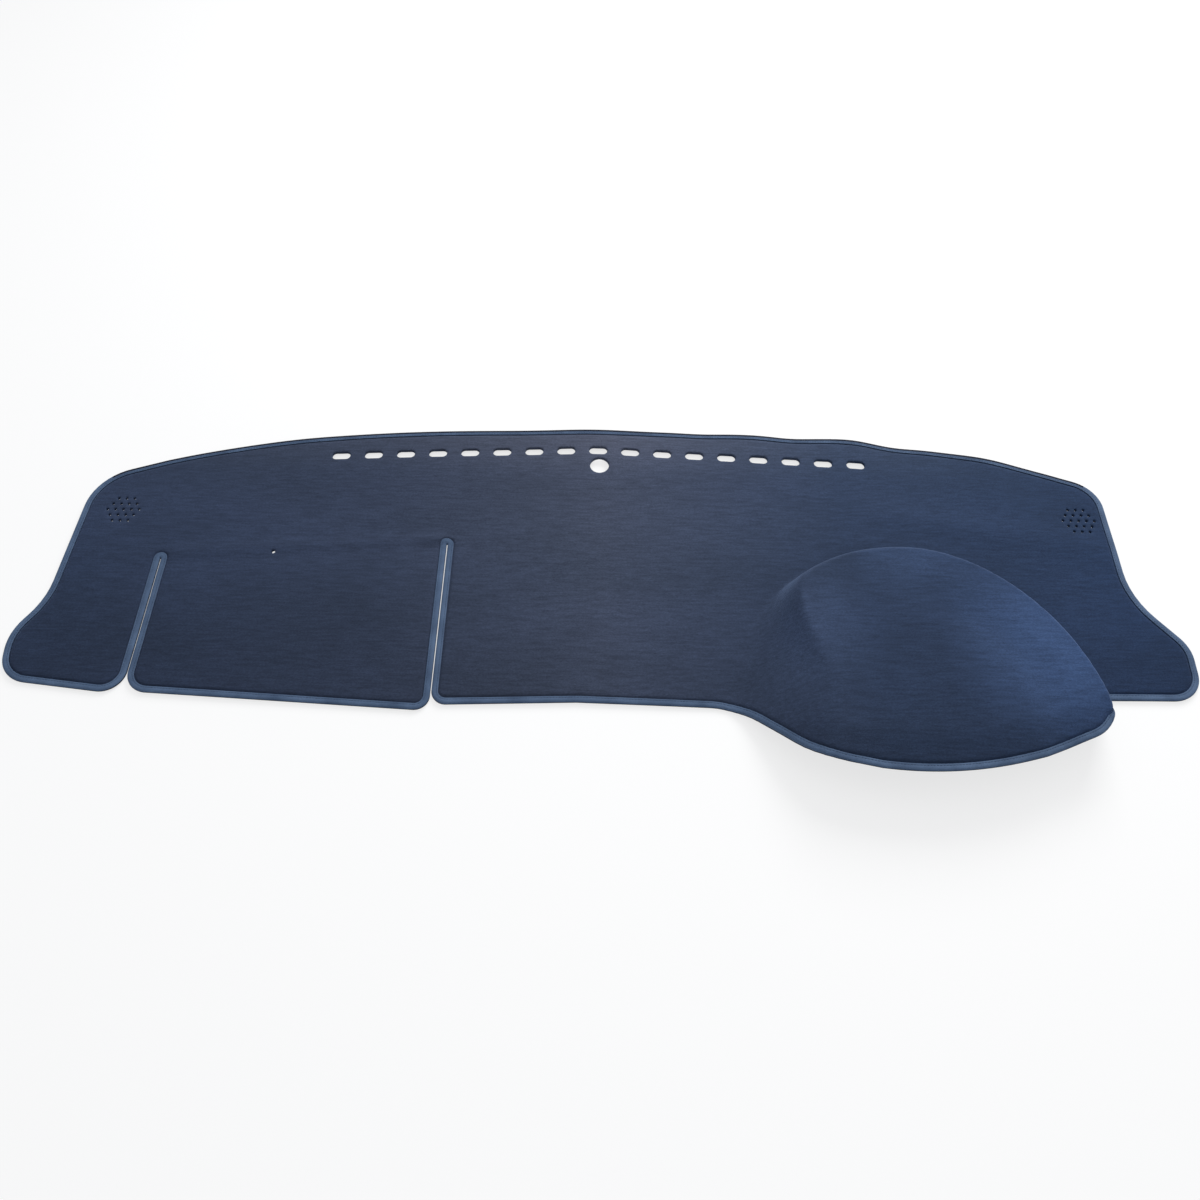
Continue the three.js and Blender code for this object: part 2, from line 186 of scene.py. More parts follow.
def hood(x, y):
    """Height of the moulded hood's underside, and its distance out from 0 in the middle to 1 at its foot."""
    dx = x - HOOD_X
    dy = np.maximum(0.0, y - HOOD_BASE)
    power = np.where(dx < 0, LEFT_ROUNDNESS, RIGHT_ROUNDNESS)
    out = ((np.abs(dx) / HOOD_HALF) ** power + (dy / HOOD_REACH) ** power) ** (1 / power)
    side = dx / HOOD_HALF / np.maximum(out, 1e-6)
    shoulder = LEFT_SHOULDER + (SHOULDER - LEFT_SHOULDER) * ease((side + 0.97) / 0.37)
    climb = ease((1 - out) / (1 - shoulder))
    dent = DENT_DEPTH * bump(out, DENT_PLACE, DENT_WIDTH) * ease(0.3 + side)
    droop = DROOP * (1 - ease(np.maximum(0.0, y - arch_edge(x)) / DROOP_WIDTH))
    height = climb * (HOOD_HEIGHT + HOOD_CROWN * (1 - out * out) - dent - droop)
    return np.where(out < 1, height, 0.0), out


def lie(x, y):
    """Height of the sheet's underside above the floor: the hood, and how the soft sheet lies unevenly."""
    x = np.asarray(x, float)
    y = np.asarray(y, float)
    height, out = hood(x, y)
    flat = ease((out - 0.95) / 0.35)
    # Long shallow waves of a sheet that doesn't lie quite flat
    waves = 0.5 + 0.25 * np.sin(x / 83 + 1.3 + y / 140) + 0.25 * np.sin(y / 61 - x / 190 + 0.4)
    # Small lifts of the rear edge
    from_rear = rear_edge(x) - y
    lifts = (4.6 * bump(x, -12, 70) + 3.4 * bump(x, 346, 34)
             + 4.4 * bump(x, 530, 46) + 1.2 * bump(x, -420, 60))
    lift = lifts * np.exp(-np.clip(from_rear, 0, None) / 45)
    # Behind the slots the sheet bends down towards its rear edge
    lift = lift + 3.0 * bump(from_rear, 66, 52) * ease((HALF - 70 - np.abs(x)) / 160)
    # The flap hangs from a soft fold between the tops of its slits, pinched at the right slit
    across = np.clip((x - LEFT_SLIT) / FLAP_WIDTH, 0, 1)
    fold_y = LEFT_SLIT_TOP + (RIGHT_SLIT_TOP - LEFT_SLIT_TOP) * across
    on_flap = ease((x - LEFT_SLIT + 20) / 50) * ease((RIGHT_SLIT + 14 - x) / 24)
    fold = on_flap * (1.7 * bump(y, fold_y + 9, 9) - 0.5 * bump(y, fold_y - 8, 7))
    pinch = 2.2 * bump(x, RIGHT_SLIT - 16, 20) * bump(y, RIGHT_SLIT_TOP + 7, 5)
    # A low ridge from behind the hood to the right side
    ridge_y = 282 - 0.16 * (x - 346)
    ridge = 2.6 * bump(y, ridge_y, 26) * ease((x - 300) / 90) * ease((HALF - 40 - x) / 60)
    return height + np.maximum(0, flat * (1.1 * waves + fold + pinch + ridge) + lift)


def slopes(x, y):
    step = 0.5
    along_x = (hood(x + step, y)[0] - hood(x - step, y)[0]) / (2 * step)
    along_y = (hood(x, y + step)[0] - hood(x, y - step)[0]) / (2 * step)
    return along_x, along_y


def swell(x, y):
    along_x, along_y = slopes(x, y)
    return np.minimum(STEEPEST_SWELL, np.sqrt(1 + along_x ** 2 + along_y ** 2))


# Outline

def rounded_loop(corners):
    """Corners (x, y, radius) joined into a closed loop of points, with an arc at each corner."""
    points = []
    for i, (x, y, radius) in enumerate(corners):
        here = Vector((x, y))
        back = Vector(corners[i - 1][:2]) - here
        on = Vector(corners[(i + 1) % len(corners)][:2]) - here
        room = LONGEST_ARC * min(back.length, on.length)
        back.normalize()
        on.normalize()
        half_angle = math.acos(max(-1.0, min(1.0, back.dot(on)))) / 2
        turn = math.pi - 2 * half_angle
        if radius == 0 or turn < 1e-3:
            points.append((x, y))
            continue
        tangent = min(radius / math.tan(half_angle), room)
        arc_radius = tangent * math.tan(half_angle)
        centre = here + (back + on).normalized() * arc_radius / math.sin(half_angle)
        spoke = here + back * tangent - centre
        side = math.copysign(1.0, on.x * back.y - on.y * back.x)
        steps = max(3, math.ceil(turn / ARC_STEP))
        for k in range(steps + 1):
            turned = Matrix.Rotation(side * turn * k / steps, 2) @ spoke + centre
            points.append((turned.x, turned.y))
    return np.array(points)


def slit_corners(x, top, left, left_round, right, right_round):
    side = SLIT_GAP / 2
    return [
        (x - side, left, left_round),
        (x - side, top, side),
        (x + side, top, side),
        (x + side, right, right_round),
    ]


def curve_corners(edge, start, end, steps):
    return [(x, float(edge(x)), 0.0) for x in np.linspace(start, end, steps + 1)]


def evenly(loop, step):
    """The loop with points added on its straight steps, none longer than step."""
    out = []
    for a, b in zip(loop, np.roll(loop, -1, axis=0)):
        count = max(1, math.ceil(np.linalg.norm(b - a) / step))
        out.extend(a + (b - a) * k / count for k in range(count))
    return np.array(out)


def mat_outline():
    arch_left = HOOD_X - HOOD_HALF + ARCH_LEFT_INSET
    arch_right = HOOD_X + HOOD_HALF - ARCH_RIGHT_INSET
    foot = HOOD_X - HOOD_HALF
    left_shoulder = LEFT["shoulder"] - HALF
    right_shoulder = HALF - RIGHT["shoulder"]
    curve_left = left_shoulder + SHOULDER_START * LEFT["shoulder_round"]
    curve_right = right_shoulder - SHOULDER_START * RIGHT["shoulder_round"]
    arch_start = arch_left + ARCH_LEFT_START * ARCH_LEFT_ROUND
    arch_end = arch_right - ARCH_RIGHT_START * ARCH_RIGHT_ROUND
    corners = [
        (LEFT["tip_inset"] - HALF, LEFT["tip_front"], LEFT["tip_corner"]),
        *slit_corners(LEFT_SLIT, LEFT_SLIT_TOP, LEFT["wing_front"], LEFT["wing_round"],
                      FLAP_FRONT_LEFT, FLAP_LEFT_ROUND),
        *slit_corners(RIGHT_SLIT, RIGHT_SLIT_TOP, FLAP_FRONT_RIGHT, FLAP_RIGHT_ROUND,
                      MIDDLE_FRONT_LEFT, FLAP_RIGHT_ROUND),
        ((RIGHT_SLIT + foot) / 2, 0.0, 0.0),
        (foot + FOOT_INSET, FOOT_FRONT, FOOT_ROUND),
        (arch_left, float(arch_edge(arch_left)), ARCH_LEFT_ROUND),
        *curve_corners(arch_edge, arch_start, arch_end, ARCH_STEPS),
        (arch_right, float(arch_edge(arch_right)), ARCH_RIGHT_ROUND),
        (HOOD_X + HOOD_HALF + NOTCH_SHIFT, NOTCH_FRONT, NOTCH_ROUND),
        (HALF - RIGHT["tip_inset"], RIGHT["tip_front"], RIGHT["tip_corner"]),
        (HALF, RIGHT["tip_depth"], RIGHT["tip_round"]),
        (HALF - RIGHT["waist"], RIGHT["waist_depth"], RIGHT["waist_round"]),
        (right_shoulder, float(rear_edge(right_shoulder)), RIGHT["shoulder_round"]),
        *curve_corners(rear_edge, curve_right, curve_left, REAR_STEPS),
        (left_shoulder, float(rear_edge(left_shoulder)), LEFT["shoulder_round"]),
        (LEFT["waist"] - HALF, LEFT["waist_depth"], LEFT["waist_round"]),
        (-HALF, LEFT["tip_depth"], LEFT["tip_round"]),
    ]
    return evenly(rounded_loop(corners), OUTLINE_STEP)


def inward_steps(loop):
    """For each point of an anticlockwise loop, the step in plan that goes 1 mm in from the edge."""
    before = loop - np.roll(loop, 1, axis=0)
    after = np.roll(loop, -1, axis=0) - loop
    before /= np.linalg.norm(before, axis=1)[:, None]
    after /= np.linalg.norm(after, axis=1)[:, None]
    along = before + after
    along /= np.linalg.norm(along, axis=1)[:, None]
    inward = np.stack([-along[:, 1], along[:, 0]], axis=1)
    mitre = 1 / np.maximum(SHARPEST_TURN, (along * after).sum(axis=1))
    probe = loop + inward * BAND / 2
    along_x, along_y = slopes(probe[:, 0], probe[:, 1])
    tilt = along_x * inward[:, 0] + along_y * inward[:, 1]
    lean = np.maximum(LEAST_LEAN, 1 / np.sqrt(1 + tilt ** 2))
    return inward * (mitre * lean)[:, None]


def place(points, up):
    """Points of the plan, raised by up millimetres through the sheet, as metres in the CAD frame."""
    x, y = points[:, 0], points[:, 1]
    z = lie(x, y) + np.asarray(up) * swell(x, y)
    return np.stack([x * METRE + SIDE_LINE, y * METRE + FRONT_LINE, z * METRE], axis=1)


# Holes

def circle_loop(x, y, diameter, sides):
    angles = np.linspace(0, 2 * math.pi, sides, endpoint=False)
    return np.stack([x + diameter / 2 * np.cos(angles), y + diameter / 2 * np.sin(angles)], axis=1)


def row_y(x):
    along = x - SLOT_ROW_X
    reach = SLOT_PITCH * (SLOTS - 1) / 2
    return MAT_DEPTH - SLOT_INSET - SLOT_BOW * abs(along / reach) ** SLOT_POWER - SLOT_SKEW * along


def slot_loop(index):
    x = SLOT_ROW_X + SLOT_PITCH * (index - (SLOTS - 1) / 2)
    angle = math.atan2(row_y(x + 1) - row_y(x - 1), 2)
    w, d = SLOT_WIDTH / 2, SLOT_DEPTH / 2
    loop = rounded_loop([(-w, -d, SLOT_ROUND), (w, -d, SLOT_ROUND), (w, d, SLOT_ROUND), (-w, d, SLOT_ROUND)])
    turn = np.array([[math.cos(angle), math.sin(angle)], [-math.sin(angle), math.cos(angle)]])
    return evenly(loop, 1.6) @ turn + (x, row_y(x))


def speaker_loops(x, y):
    loops = []
    for row in range(-SPEAKER_RINGS, SPEAKER_RINGS + 1):
        in_row = 2 * SPEAKER_RINGS + 1 - abs(row)
        for k in range(in_row):
            px = x + SPEAKER_PITCH * (k - (in_row - 1) / 2)
            py = y + SPEAKER_PITCH * row * math.sin(math.pi / 3)
            loops.append(circle_loop(px, py, SPEAKER_HOLE, 14))
    return loops


def hole_loops():
    """Each hole's loop, with the distances out from it where the pile is still rising."""
    wide = (0.8, 1.8, 3.2)
    loops = [(slot_loop(k), wide) for k in range(SLOTS)]
    sensor_y = float(rear_edge(SENSOR_X)) - SENSOR_INSET
    loops.append((circle_loop(SENSOR_X, sensor_y, SENSOR_DIAMETER, 52), wide))
    loops.append((circle_loop(LEFT_SLIT + PUNCH_FROM_SLIT, PUNCH_Y, PUNCH_DIAMETER, 20), (0.7, 1.6)))
    for x in (SPEAKER_INSET - HALF, HALF - SPEAKER_INSET):
        loops.extend((loop, (0.6, 1.5)) for loop in speaker_loops(x, SPEAKER_Y))
    return loops


def inside(points, loop):
    """Which points of the plan lie inside a closed loop."""
    low, high = loop.min(axis=0), loop.max(axis=0)
    near = np.where(((points >= low) & (points <= high)).all(axis=1))[0]
    hit = np.zeros(len(points), bool)
    x, y = points[near, 0], points[near, 1]
    odd = np.zeros(len(near), bool)
    for (ax, ay), (bx, by) in zip(loop, np.roll(loop, -1, axis=0)):
        if ay == by:
            continue
        crosses = (ay > y) != (by > y)
        odd ^= crosses & (x < (bx - ax) * (y - ay) / (by - ay) + ax)
    hit[near] = odd
    return hit


def new_piece(name, points, faces):
    mesh = bpy.data.meshes.new(name)
    mesh.from_pydata([tuple(p) for p in points], [], [tuple(int(v) for v in f) for f in faces])
    mesh.validate()
    mesh.polygons.foreach_set("use_smooth", [True] * len(mesh.polygons))
    piece = bpy.data.objects.new(name, mesh)
    bpy.context.scene.collection.objects.link(piece)
    return piece


# Carpet sheet

# Levels of the sheet near its outer edge: how far in, and how far its top and underside draw back
# there, first pressed flat inside the tape and then swelling to the full pile
EDGE_LEVELS = [(1.3, 1.9, 1.9), (2.6, 1.15, 1.15), (7.4, 1.2, 1.2), (8.1, 2.0, 0.2), (9.1, 1.75, 0.0),
               (10.0, 0.7, 0.0), (11.4, 0.2, 0.0), (14.5, -0.05, 0.0)]
RIM_DRAW = [(0.0, 0.95), (0.8, 0.42), (1.8, 0.12), (3.2, 0.0)]


def grid_points(step, keep):
    xs = np.arange(-HALF, HALF, step)
    ys = np.arange(-HOOD_FRONT, MAT_DEPTH, step * math.sqrt(3) / 2)
    grid = np.array([(x + (step / 2 if row % 2 else 0), y) for row, y in enumerate(ys) for x in xs])
    return grid[keep(grid)]


def near_any(points, others, distance):
    """Which points lie within a distance of any of the others, found through a coarse grid of cells."""
    cells = {}
    for ox, oy in others:
        cells.setdefault((int(ox // distance), int(oy // distance)), []).append((ox, oy))
    hit = np.zeros(len(points), bool)
    for i, (x, y) in enumerate(points):
        cx, cy = int(x // distance), int(y // distance)
        hit[i] = any(
            (x - ox) ** 2 + (y - oy) ** 2 < distance * distance
            for ix in (cx - 1, cx, cx + 1)
            for iy in (cy - 1, cy, cy + 1)
            for ox, oy in cells.get((ix, iy), ())
        )
    return hit


def carpet_piece(outline, steps):
    """The carpet: one closed sheet over a fine plan, with soft rims at its edges and holes."""
    rings = [outline[::2] + steps[::2] * level for level, _, _ in EDGE_LEVELS]
    border = rings[0]
    holes = hole_loops()
    points, top_draw, low_draw, edges = [], [], [], []

    def add(loop, top, low, closed):
        first = len(points)
        points.extend(loop)
        top_draw.extend([top] * len(loop))
        low_draw.extend([low] * len(loop))
        if closed:
            edges.extend((first + i, first + (i + 1) % len(loop)) for i in range(len(loop)))

    for ring, (_, top, low) in zip(rings, EDGE_LEVELS):
        add(ring, top, low, ring is border)
    for loop, spreads in holes:
        add(loop, RIM_DRAW[0][1], 0.3, True)
        middle = loop.mean(axis=0)
        for spread in spreads:
            out = loop - middle
            out = loop + out / np.linalg.norm(out, axis=1)[:, None] * spread
            draw = float(np.interp(spread, *zip(*RIM_DRAW)))
            add(out, draw, 0.0, False)

    def on_hood(grid):
        return hood(grid[:, 0], grid[:, 1])[1] < 1.12

    taken = np.array(points)
    fine = grid_points(HOOD_GRID, on_hood)
    coarse = grid_points(GRID, lambda grid: ~on_hood(grid))
    grid = np.vstack([fine, coarse])
    inner = rings[-1]
    grid = grid[inside(grid, inner)]
    for loop, _ in holes:
        grid = grid[~inside(grid, loop)]
    grid = grid[~near_any(grid, taken, 2.4)]
    add(grid, 0.0, 0.0, False)

    coords = [Vector((float(x), float(y))) for x, y in points]
    flat, _, triangles, origins, _, _ = delaunay_2d_cdt(coords, edges, [], 0, 1e-6, True)
    flat = np.array([tuple(v) for v in flat])
    top_draw = np.array([top_draw[o[0]] for o in origins])
    low_draw = np.array([low_draw[o[0]] for o in origins])
    triangles = np.array([tuple(t) for t in triangles])
    middles = flat[triangles].mean(axis=1)
    keep = inside(middles, border)
    for loop, _ in holes:
        keep &= ~inside(middles, loop)
    triangles = triangles[keep]
    used = np.unique(triangles)
    index = np.full(len(flat), -1)
    index[used] = np.arange(len(used))
    flat, top_draw, low_draw = flat[used], top_draw[used], low_draw[used]
    triangles = index[triangles]
    a, b, c = (flat[triangles[:, k]] for k in range(3))
    area = (b - a)[:, 0] * (c - a)[:, 1] - (b - a)[:, 1] * (c - a)[:, 0]
    triangles[area < 0] = triangles[area < 0][:, ::-1]

    top = place(flat, THICKNESS - top_draw)
    low = place(flat, low_draw)
    over = len(flat)
    directed = {}
    for t in triangles:
        for i in range(3):
            directed[(int(t[i]), int(t[(i + 1) % 3]))] = True
    walls = [(p, q, q + over, p + over) for p, q in directed if (q, p) not in directed]
    faces = [tuple(t[::-1]) for t in triangles] + [tuple(t + over) for t in triangles] + walls
    return new_piece("carpet_sheet", np.vstack([low, top]), faces)


# Edge tape and its stitching

STITCH_IN = 6.0
STITCH_PITCH = 3.6
STITCH_LENGTH = 2.7
THREAD = 0.26
NOSE = 2.3


def travel_along(loop):
    """Distance along a closed loop to each of its points, and last to its first point again."""
    segment = np.linalg.norm(np.roll(loop, -1, axis=0) - loop, axis=1)
    return np.concatenate([[0], np.cumsum(segment)])


def tape_outer():
    """Outer face of the folded tape, from its lower lip's end round the nose to its upper lip's end."""
    lip = [(BAND - 0.1, 0.15), (7.1, 0.05), (STITCH_IN, 0.42), (4.9, 0.05), (2.8, 0.0)]
    middle = THICKNESS / 2
    angles = np.radians((-65, -42, -20, 0, 20, 42, 65))
    nose = [(NOSE - NOSE * math.cos(a), middle + middle * math.sin(a)) for a in angles]
    top = [(2.8, 4.98), (4.2, 4.93), (5.0, 4.80), (STITCH_IN, 4.38), (6.9, 4.70), (7.5, 4.62), (BAND, 4.30)]
    return lip + nose + top


def tape_piece(outline, steps):
    outer = tape_outer()
    inner = []
    for u, w in reversed(outer):
        inner_u = min(u + TAPE, BAND - 0.15) if u < 3 else u
        inner_w = w + (TAPE if w < 1 else -TAPE if w > 4 else 0.0)
        inner.append((inner_u, inner_w))
    section = outer + inner
    count, around = len(outline), len(section)
    travel = travel_along(outline)[:-1]
    rows = []
    for u, w in section:
        # The upper lip puckers a little between the stitches
        pucker = 0.10 * bump(u, STITCH_IN, 1.6) * np.sin(travel * 2 * math.pi / (STITCH_PITCH * 2.9))
        rows.append(place(outline + steps * u, w + pucker * (1 if w > THICKNESS / 2 else 0)))
    points = np.stack(rows, axis=1).reshape(-1, 3)
    faces = []
    for i in range(count):
        j = (i + 1) % count
        for k in range(around):
            m = (k + 1) % around
            faces.append((i * around + k, j * around + k, j * around + m, i * around + m))
    piece = new_piece("edge_tape", points, faces)
    # Painted shade: the lower half of the fold is dark, standing in for the shadow under the edge, and at
    # the rear edge the painted shade reaches over the nose
    inward = steps / np.linalg.norm(steps, axis=1)[:, None]
    for i in range(count):
        reach = 4.4 if inward[i, 1] < -0.75 else 0.0
        for k in range(len(outer) - 1):
            u, w = outer[k + 1]
            if (u < 3 and w < 3.4) or (w > 3 and u <= reach):
                piece.data.polygons[i * around + k].material_index = 1
    return piece


def stitch_piece(outline, steps):
    """Running stitches on both faces of the tape, each a short thread that dips at its ends."""
    travel = travel_along(outline)
    count = int(travel[-1] / STITCH_PITCH)
    loop = np.vstack([outline, outline[:1]])
    inward = np.vstack([steps, steps[:1]])

    def at(distance):
        distance = np.mod(distance, travel[-1])
        row = loop + inward * STITCH_IN
        return np.stack([np.interp(distance, travel, row[:, k]) for k in range(2)], axis=1)

    rings = [(-0.5, -0.30, 0.5), (-0.32, 0.06, 1.0), (0.0, 0.14, 1.0), (0.32, 0.06, 1.0), (0.5, -0.30, 0.5)]
    sides = 5
    points, faces = [], []
    starts = (np.arange(count) + 0.5) * travel[-1] / count
    for face_up, level in ((1, 4.38), (-1, 0.42)):
        for along, rise_by, size in rings:
            centre = at(starts + along * STITCH_LENGTH)
            ahead = at(starts + along * STITCH_LENGTH + 0.2) - centre
            ahead /= np.linalg.norm(ahead, axis=1)[:, None]
            across = np.stack([-ahead[:, 1], ahead[:, 0]], axis=1)
            for s in range(sides):
                angle = 2 * math.pi * s / sides
                spot = centre + across * (THREAD * size * math.cos(angle))
                points.append(place(spot, level + face_up * rise_by + THREAD * size * math.sin(angle)))
    rows = np.array(points)  # row, stitch, coordinate
    per_face = len(rings) * sides
    flat_points = rows.transpose(1, 0, 2).reshape(-1, 3)
    for stitch in range(count):
        for half in range(2):
            base = stitch * 2 * per_face + half * per_face
            for r in range(len(rings) - 1):
                for s in range(sides):
                    t = (s + 1) % sides
                    a, b = base + r * sides + s, base + r * sides + t
                    faces.append((a, b, b + sides, a + sides))
            faces.append(tuple(base + s for s in reversed(range(sides))))
            faces.append(tuple(base + (len(rings) - 1) * sides + s for s in range(sides)))
    return new_piece("edge_stitching", flat_points, faces)


# Materials

def shader(name, color, roughness, sheen, sheen_rough, sheen_tint):
    material = bpy.data.materials.new(name)
    material.use_nodes = True
    nodes, links = material.node_tree.nodes, material.node_tree.links
    principled = nodes["Principled BSDF"]
    principled.inputs["Base Color"].default_value = (*color, 1)
    principled.inputs["Roughness"].default_value = roughness
    principled.inputs["Specular IOR Level"].default_value = 0.18
    principled.inputs["Sheen Weight"].default_value = sheen
    principled.inputs["Sheen Roughness"].default_value = sheen_rough
    principled.inputs["Sheen Tint"].default_value = (*sheen_tint, 1)
    return material, nodes, links, principled


def linear(red, green, blue):
    """A colour written as 0 to 255 on screen, as the shader takes it."""
    shares = (red / 255, green / 255, blue / 255)
    return tuple(((share + 0.055) / 1.055) ** 2.4 for share in shares)


def noise(nodes, links, vector, scale, detail, stretch=(1, 1, 1), roughness=0.55):
    mapping = nodes.new("ShaderNodeMapping")
    mapping.inputs["Scale"].default_value = stretch
    links.new(vector, mapping.inputs["Vector"])
    node = nodes.new("ShaderNodeTexNoise")
    node.inputs["Scale"].default_value = scale
    node.inputs["Detail"].default_value = detail
    node.inputs["Roughness"].default_value = roughness
    links.new(mapping.outputs["Vector"], node.inputs["Vector"])
    return node.outputs["Fac"]


def ramp(nodes, links, value, stops):
    node = nodes.new("ShaderNodeValToRGB")
    while len(node.color_ramp.elements) < len(stops):
        node.color_ramp.elements.new(0.5)
    for element, (position, color) in zip(node.color_ramp.elements, stops):
        element.position = position
        element.color = (*color, 1)
    links.new(value, node.inputs["Fac"])
    return node.outputs["Color"]


def mix(nodes, links, kind, factor, a, b):
    node = nodes.new("ShaderNodeMix")
    node.data_type = "RGBA"
    node.blend_type = kind
    if isinstance(factor, float):
        node.inputs["Factor"].default_value = factor
    else:
        links.new(factor, node.inputs["Factor"])
    for socket, value in ((node.inputs["A"], a), (node.inputs["B"], b)):
        if isinstance(value, tuple):
            socket.default_value = (*value, 1)
        else:
            links.new(value, socket)
    return node.outputs["Result"]


def maths(nodes, links, operation, a, b=0.0):
    node = nodes.new("ShaderNodeMath")
    node.operation = operation
    for socket, value in zip(node.inputs, (a, b)):
        if isinstance(value, (int, float)):
            socket.default_value = value
        else:
            links.new(value, socket)
    return node.outputs["Value"]


def carpet_material():
    material, nodes, links, principled = shader(
        "carpet", linear(44, 54, 76), 0.92, 0.5, 0.4, linear(120, 142, 180))
    where = nodes.new("ShaderNodeTexCoord").outputs["Object"]
    # Soft light and dark patches where the nap lies differently
    patches = ramp(nodes, links, noise(nodes, links, where, 4.5, 4, (0.5, 1.5, 1)),
                   [(0.30, linear(41, 51, 71)), (0.70, linear(49, 60, 84))])
    # Painted light across the mat: the pile is painted greyer and lighter in the middle, standing in for
    # sheen, and bluer to the right, standing in for the tint of the light
    split = nodes.new("ShaderNodeSeparateXYZ")
    links.new(where, split.inputs["Vector"])
    across = maths(nodes, links, "MULTIPLY_ADD", split.outputs["X"], 0.68)
    across.node.inputs[2].default_value = 0.5
    painted_light_across = ramp(nodes, links, across, [
        (0.0, (0.86, 0.94, 1.0)),
        (0.30, (1.04, 1.0, 0.95)),
        (0.50, (1.62, 1.42, 1.22)),
        (0.72, (0.86, 0.98, 1.04)),
        (0.95, (0.58, 0.80, 0.97)),
    ])
    # Painted light along the mat: darker towards the front and lighter and warmer at the rear edge, standing
    # in for sheen from a light behind the mat
    back = maths(nodes, links, "MULTIPLY_ADD", split.outputs["Y"], 1.9)
    back.node.inputs[2].default_value = 0.5
    painted_light = ramp(nodes, links, back, [
        (0.0, (0.86, 0.86, 0.86)),
        (0.3, (0.84, 0.84, 0.84)),
        (0.55, (1.0, 1.0, 1.0)),
        (0.85, (1.15, 1.10, 1.06)),
        (0.96, (1.5, 1.33, 1.18)),
    ])
    # Painted highlights on the raised hood: lighter on its right shoulder, its top and its left flank,
    # standing in for sheen on its curved faces
    for middle, radius, painted_highlight_gain in (
        ((0.545, -0.105, 0.05), 0.17, 1.15),
        ((0.385, 0.05, 0.05), 0.13, 0.35),
        ((0.25, -0.09, 0.03), 0.11, 0.40),
    ):
        span = nodes.new("ShaderNodeVectorMath")
        span.operation = "DISTANCE"
        span.inputs[1].default_value = middle
        links.new(where, span.inputs[0])
        glow = nodes.new("ShaderNodeMapRange")
        glow.interpolation_type = "SMOOTHSTEP"
        glow.inputs["From Min"].default_value = radius
        glow.inputs["From Max"].default_value = 0.02
        glow.inputs["To Min"].default_value = 1.0
        glow.inputs["To Max"].default_value = 1 + painted_highlight_gain
        links.new(span.outputs["Value"], glow.inputs["Value"])
        raised = nodes.new("ShaderNodeMapRange")
        raised.inputs["From Min"].default_value = 0.012
        raised.inputs["From Max"].default_value = 0.045
        links.new(split.outputs["Z"], raised.inputs["Value"])
        painted_light = mix(nodes, links, "MULTIPLY", raised.outputs["Result"], painted_light, glow.outputs["Result"])
    # Fine streaks of the brushed nap along the mat's width
    streaks = ramp(nodes, links, noise(nodes, links, where, 230, 4, (0.18, 1.5, 1)),
                   [(0.34, (0.80, 0.80, 0.80)), (0.66, (1.18, 1.18, 1.18))])
    fibres = ramp(nodes, links, noise(nodes, links, where, 620, 3, (0.7, 1.3, 1), 0.7),
                  [(0.30, (0.66, 0.66, 0.66)), (0.70, (1.28, 1.28, 1.28))])
    color = mix(nodes, links, "MULTIPLY", 1.0, patches, painted_light_across)
    color = mix(nodes, links, "MULTIPLY", 1.0, color, painted_light)
    color = mix(nodes, links, "MULTIPLY", 0.8, color, streaks)
    color = mix(nodes, links, "MULTIPLY", 0.85, color, fibres)
    links.new(color, principled.inputs["Base Color"])

    # Pile: fine tufts over the streaks
    tufts = noise(nodes, links, where, 900, 4, (1, 1, 1), 0.75)
    brushed = noise(nodes, links, where, 230, 3, (0.18, 1.5, 1))
    tufts = maths(nodes, links, "MULTIPLY", tufts, 0.6)
    brushed = maths(nodes, links, "MULTIPLY", brushed, 0.4)
    height = maths(nodes, links, "ADD", tufts, brushed)
    bumps = nodes.new("ShaderNodeBump")
    bumps.inputs["Strength"].default_value = 0.55
    bumps.inputs["Distance"].default_value = 0.0012
    links.new(height, bumps.inputs["Height"])
    links.new(bumps.outputs["Normal"], principled.inputs["Normal"])
    return material


def tape_material():
    material, nodes, links, principled = shader(
        "edge_tape", linear(72, 92, 118), 0.72, 0.35, 0.35, linear(150, 170, 205))
    where = nodes.new("ShaderNodeTexCoord").outputs["Object"]
    patches = ramp(nodes, links, noise(nodes, links, where, 30, 3),
                   [(0.3, linear(62, 80, 106)), (0.7, linear(82, 102, 130))])
    threads = ramp(nodes, links, noise(nodes, links, where, 1500, 2),
                   [(0.3, (0.72, 0.72, 0.72)), (0.7, (1.18, 1.18, 1.18))])
    links.new(mix(nodes, links, "MULTIPLY", 0.8, patches, threads), principled.inputs["Base Color"])
    waves = []
    for direction in ("X", "Y"):
        wave = nodes.new("ShaderNodeTexWave")
        wave.bands_direction = direction
        wave.inputs["Scale"].default_value = 260
        wave.inputs["Distortion"].default_value = 0.6
        links.new(where, wave.inputs["Vector"])
        waves.append(wave.outputs["Fac"])
    bumps = nodes.new("ShaderNodeBump")
    bumps.inputs["Strength"].default_value = 0.35
    bumps.inputs["Distance"].default_value = 0.0004
    links.new(maths(nodes, links, "MAXIMUM", *waves), bumps.inputs["Height"])
    links.new(bumps.outputs["Normal"], principled.inputs["Normal"])
    return material


def fold_shade_material():
    """The fold of the tape, painted dark as the shade under the edge and its contact shadow."""
    material, nodes, links, principled = shader(
        "tape_fold_painted_shade", linear(24, 30, 42), 0.85, 0.1, 0.4, linear(60, 70, 95))
    where = nodes.new("ShaderNodeTexCoord").outputs["Object"]
    threads = ramp(nodes, links, noise(nodes, links, where, 1300, 2),
                   [(0.3, linear(18, 22, 32)), (0.7, linear(31, 38, 54))])
    links.new(threads, principled.inputs["Base Color"])
    return material


